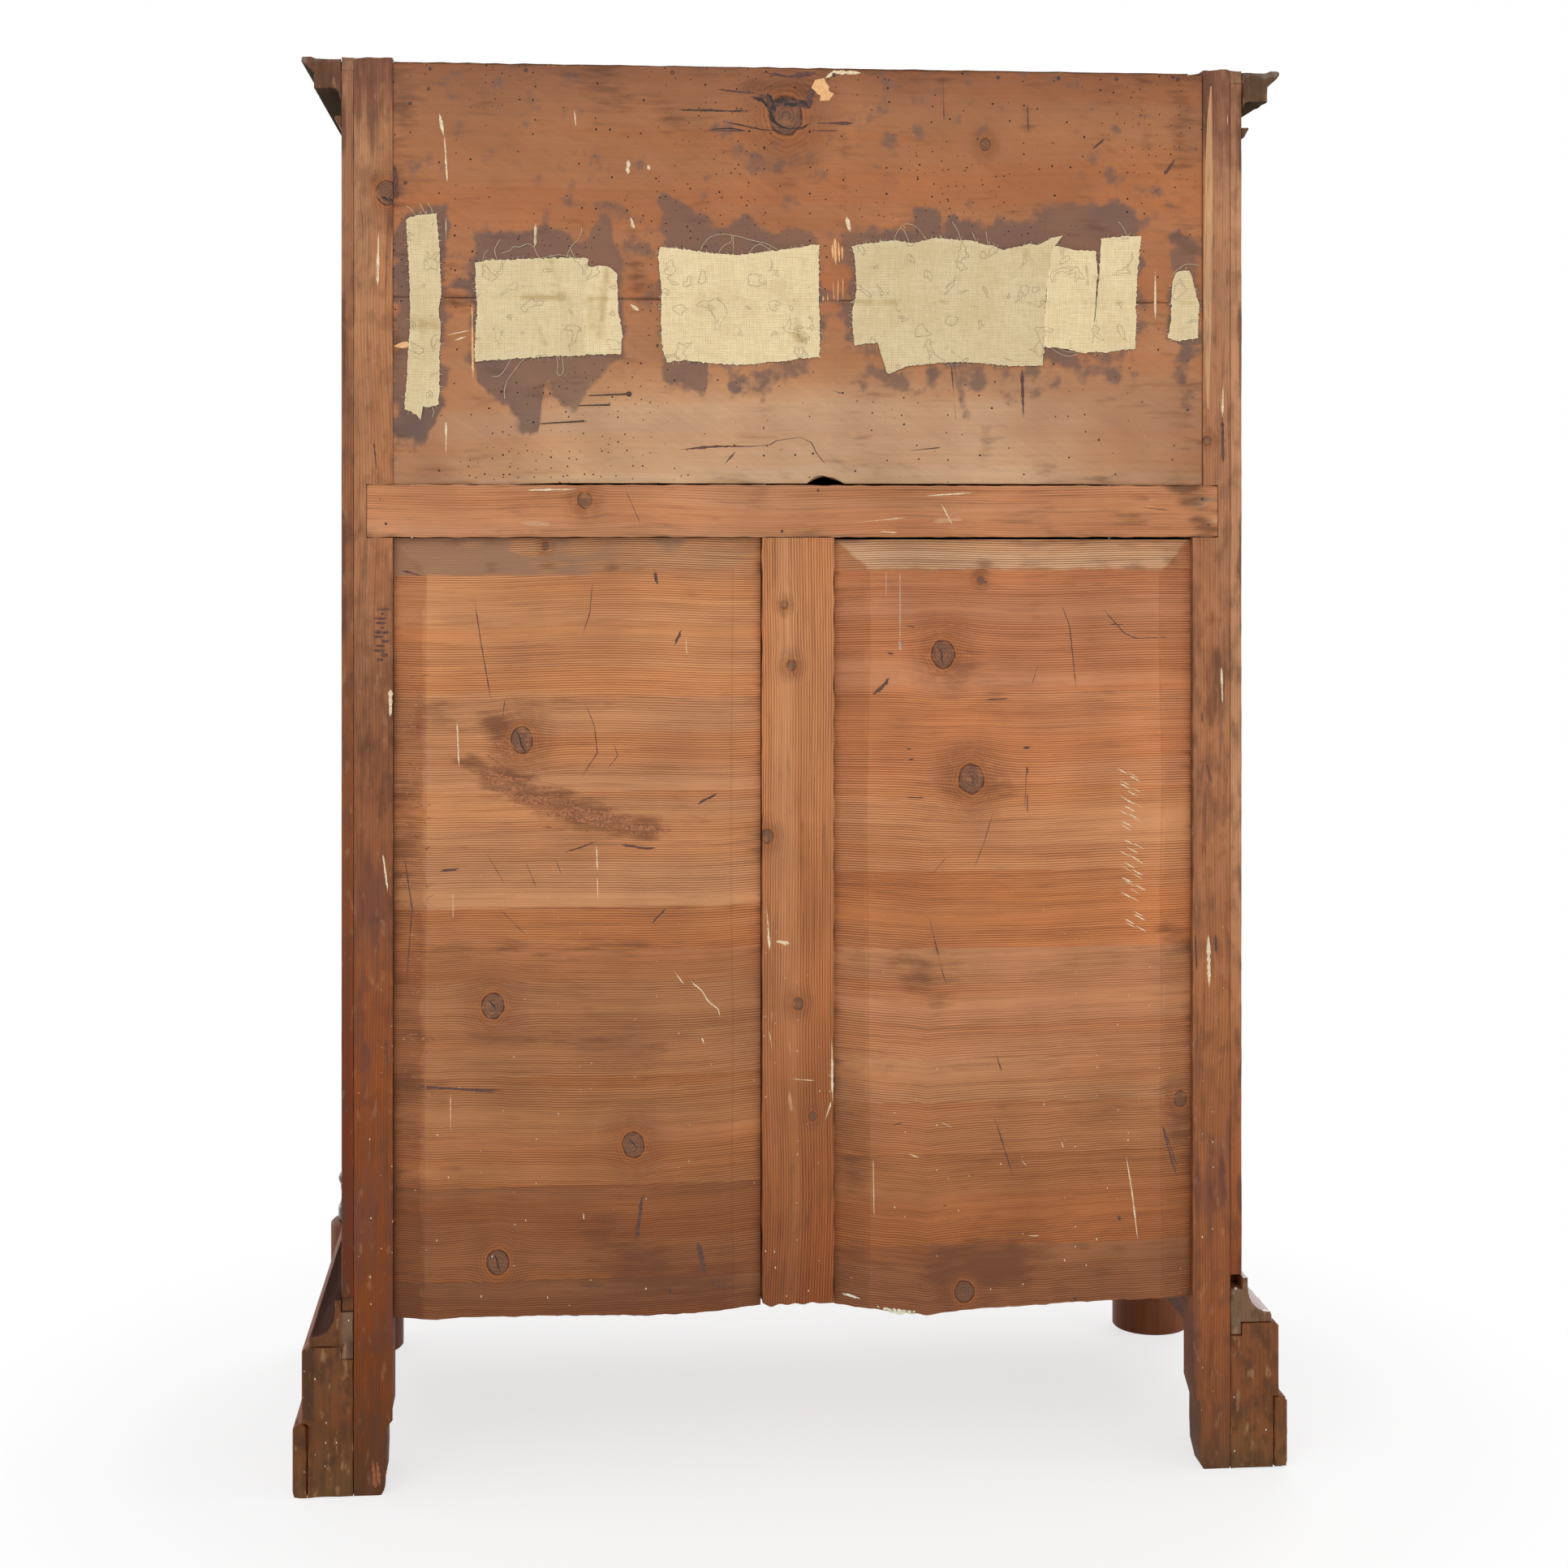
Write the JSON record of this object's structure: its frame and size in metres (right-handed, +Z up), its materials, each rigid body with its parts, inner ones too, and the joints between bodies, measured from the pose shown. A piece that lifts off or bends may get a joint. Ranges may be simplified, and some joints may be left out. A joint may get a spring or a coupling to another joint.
{
  "type": "chiffonier",
  "caption": "Tall antique chiffonier with a frieze drawer over panelled doors, full columns at the front corners, and a framed pine back with linen patches.",
  "frame": {"origin": "centre of the overall box, on the floor", "axes": "+Z up, -Y towards the front (doors and drawer), +X to the right as seen from the front"},
  "size_m": [1.132, 0.57, 1.5715],
  "materials": {
    "back_pine": "bare aged pine, hand planed, stained and worn",
    "base_pine": "dark aged pine with a polished outer face",
    "veneer": "dark reddish-brown polished veneer",
    "panel_veneer": "figured reddish-brown polished veneer",
    "ebonised": "black polished turned wood",
    "inner_pine": "plain planed pine",
    "iron": "dark forged iron",
    "brass": "aged brass",
    "linen": "coarse plain-weave linen, glue-stiffened"
  },
  "bodies": {
    "carcase": {"back_stile_left": "back_pine", "back_stile_right": "back_pine", "back_mid_rail": "back_pine", "back_muntin": "back_pine", "back_board_upper": "back_pine", "back_board_lower": "back_pine", "back_panel_left": "back_pine", "back_panel_right": "back_pine", "plinth_left": "base_pine", "plinth_right": "base_pine", "base_strip_left": "base_pine", "base_strip_right": "base_pine", "cove_left": "base_pine", "cove_right": "base_pine", "side_board_left": "veneer", "side_board_right": "veneer", "top_board": "veneer", "front_post_left": "veneer", "front_post_right": "veneer", "drawer_rail": "veneer", "frieze_rail": "veneer", "plinth_front": "veneer", "cove_front": "veneer", "corner_block_left": "veneer", "corner_block_right": "veneer", "cornice_front": "veneer", "cornice_left": "veneer", "cornice_right": "veneer", "neck_moulding_left": "veneer", "neck_moulding_right": "veneer", "column_left": "veneer", "column_right": "veneer", "column_base_left": "ebonised", "column_base_right": "ebonised", "dust_board": "inner_pine", "shelf_upper": "inner_pine", "shelf_lower": "inner_pine", "bottom_board": "inner_pine", "door_pin_left_low": "iron", "door_pin_left_high": "iron", "door_pin_right_low": "iron", "door_pin_right_high": "iron", "linen_patch_1": "linen", "linen_patch_2": "linen", "linen_patch_3": "linen", "linen_patch_4": "linen", "linen_patch_5": "linen", "linen_patch_6": "linen"},
    "door_left": {"door_frame_left": "veneer", "door_panel_left": "panel_veneer"},
    "door_right": {"door_frame_right": "veneer", "door_panel_right": "panel_veneer", "lock_case": "iron"},
    "drawer": {"drawer_front": "veneer", "drawer_side_left": "inner_pine", "drawer_side_right": "inner_pine", "drawer_back": "inner_pine", "drawer_bottom": "inner_pine"},
    "key": {"key": "brass"},
    "lock_bolt": {"lock_bolt": "iron"}
  },
  "joints": [
    {"name": "door_left_swing", "type": "hinge", "parent": "carcase", "child": "door_left", "pos_m": [-0.4422, -0.2065, 0.788], "axis": [0, 0, -1], "range_deg": [0, 95]},
    {"name": "door_right_swing", "type": "hinge", "parent": "carcase", "child": "door_right", "pos_m": [0.4422, -0.2065, 0.788], "axis": [0, 0, 1], "range_deg": [0, 95]},
    {"name": "drawer_slide", "type": "slide", "parent": "carcase", "child": "drawer", "axis": [0, -1, 0], "range_m": [0, 0.3]},
    {"name": "key_turn", "type": "hinge", "parent": "door_right", "child": "key", "pos_m": [0.028, -0.215, 0.775], "axis": [0, 1, 0], "range_deg": [0, 180]},
    {"name": "bolt_slide", "type": "slide", "parent": "door_right", "child": "lock_bolt", "axis": [-1, 0, 0], "range_m": [0, 0.01]}
  ],
  "couplings": [
    {"joint": "bolt_slide", "follows": "key_turn", "m_per_rad": 0.003183}
  ]
}
